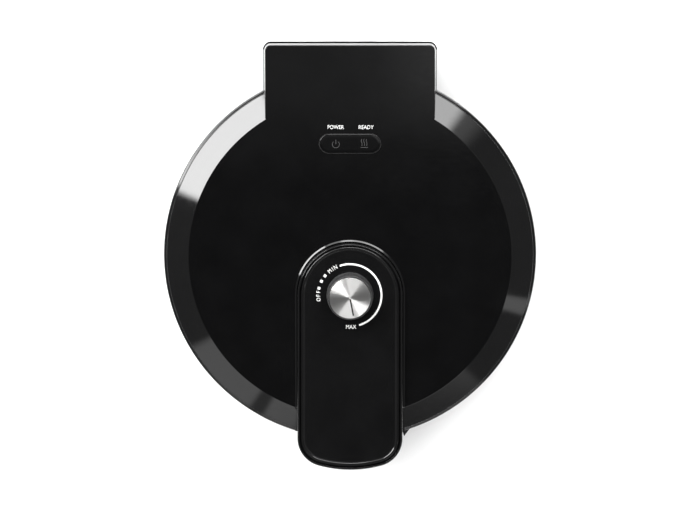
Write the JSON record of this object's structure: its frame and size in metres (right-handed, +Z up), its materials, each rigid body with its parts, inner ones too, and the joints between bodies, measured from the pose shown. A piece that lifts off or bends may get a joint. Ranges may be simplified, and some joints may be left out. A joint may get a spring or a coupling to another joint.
{
  "type": "electric griddle",
  "caption": "Round electric griddle: hinged lid with an upper plate, handle-mounted thermostat knob, indicator window, lower plate in a footed base.",
  "frame": {"origin": "on the axis of the round plates, on the surface that the feet stand on", "axes": "+Z up, -Y towards the handle, +Y towards the hinge housing, +X to the right of a person facing the handle"},
  "size_m": [0.3404, 0.391, 0.1146],
  "materials": {
    "gloss_black": "polished black moulding",
    "panel_black": "satin-gloss black panel",
    "satin_black": "fine-grained black moulding",
    "knob_black": "knurled black moulding",
    "knob_metal": "spun aluminium",
    "plate_coating": "cast aluminium with a dark non-stick coating",
    "ring_black": "heat-resistant moulding",
    "heater_steel": "dull steel tube",
    "shield_steel": "aluminised steel sheet",
    "cover_metal": "black painted sheet",
    "hinge_steel": "zinc-plated steel",
    "contact_brass": "plated brass",
    "bush_white": "natural nylon",
    "ceramic_white": "glazed ceramic block",
    "rubber_black": "black rubber",
    "lens_smoke": "dark window",
    "lamp_amber": "amber lamp",
    "lamp_green": "green lamp",
    "board_green": "circuit board"
  },
  "bodies": {
    "base": {"base_shell": "satin_black", "lower_handle": "satin_black", "hinge_barrel": "satin_black", "lower_plate": "plate_coating", "base_inner_ring": "ring_black", "lower_heater": "heater_steel", "lower_heat_shield": "shield_steel", "lower_fuse": "ceramic_white", "hinge_pin": "hinge_steel", "hinge_pin_clips": "hinge_steel", "bottom_cover": "cover_metal", "foot_front_left": "rubber_black", "foot_front_right": "rubber_black", "foot_rear_left": "rubber_black", "foot_rear_right": "rubber_black", "inlet_housing": "satin_black", "inlet_blades": "contact_brass", "terminal_block": "ceramic_white", "base_ring_screws": "hinge_steel", "cover_screws": "hinge_steel"},
    "lid": {"lid_cover": "gloss_black", "lid_inner_ring": "ring_black", "upper_plate": "plate_coating", "upper_heater": "heater_steel", "upper_heat_shield": "shield_steel", "upper_fuse": "ceramic_white", "thermostat_body": "ceramic_white", "thermostat_bracket": "hinge_steel", "thermostat_nut": "contact_brass", "indicator_lens": "lens_smoke", "indicator_baffle": "bush_white", "indicator_board": "board_green", "power_led": "lamp_amber", "ready_led": "lamp_green", "handle_frame": "gloss_black", "handle_panel": "panel_black", "handle_bottom_cover": "satin_black", "handle_screws": "hinge_steel", "hinge_arm_left": "hinge_steel", "hinge_arm_right": "hinge_steel", "hinge_bush_left": "bush_white", "hinge_bush_right": "bush_white", "hinge_screws": "hinge_steel", "lid_screws": "hinge_steel"},
    "knob": {"knob_body": "knob_black", "knob_cap": "knob_metal", "knob_pointer": "gloss_black", "knob_clip": "hinge_steel", "thermostat_shaft": "hinge_steel"},
    "release_tab": {"plate_release_tab": "satin_black"}
  },
  "joints": [
    {"name": "lid_hinge", "type": "hinge", "parent": "base", "child": "lid", "pos_m": [0, 0.172, 0.073], "axis": [-1, 0, 0], "range_deg": [0, 100]},
    {"name": "knob_turn", "type": "hinge", "parent": "lid", "child": "knob", "pos_m": [0, -0.0343, 0.1], "axis": [0, 0, 1], "range_deg": [0, 259]},
    {"name": "release_tab_press", "type": "slide", "parent": "base", "child": "release_tab", "axis": [-0.2801, 0.96, 0], "range_m": [0, 0.003], "stiffness_N_per_m": 300}
  ]
}
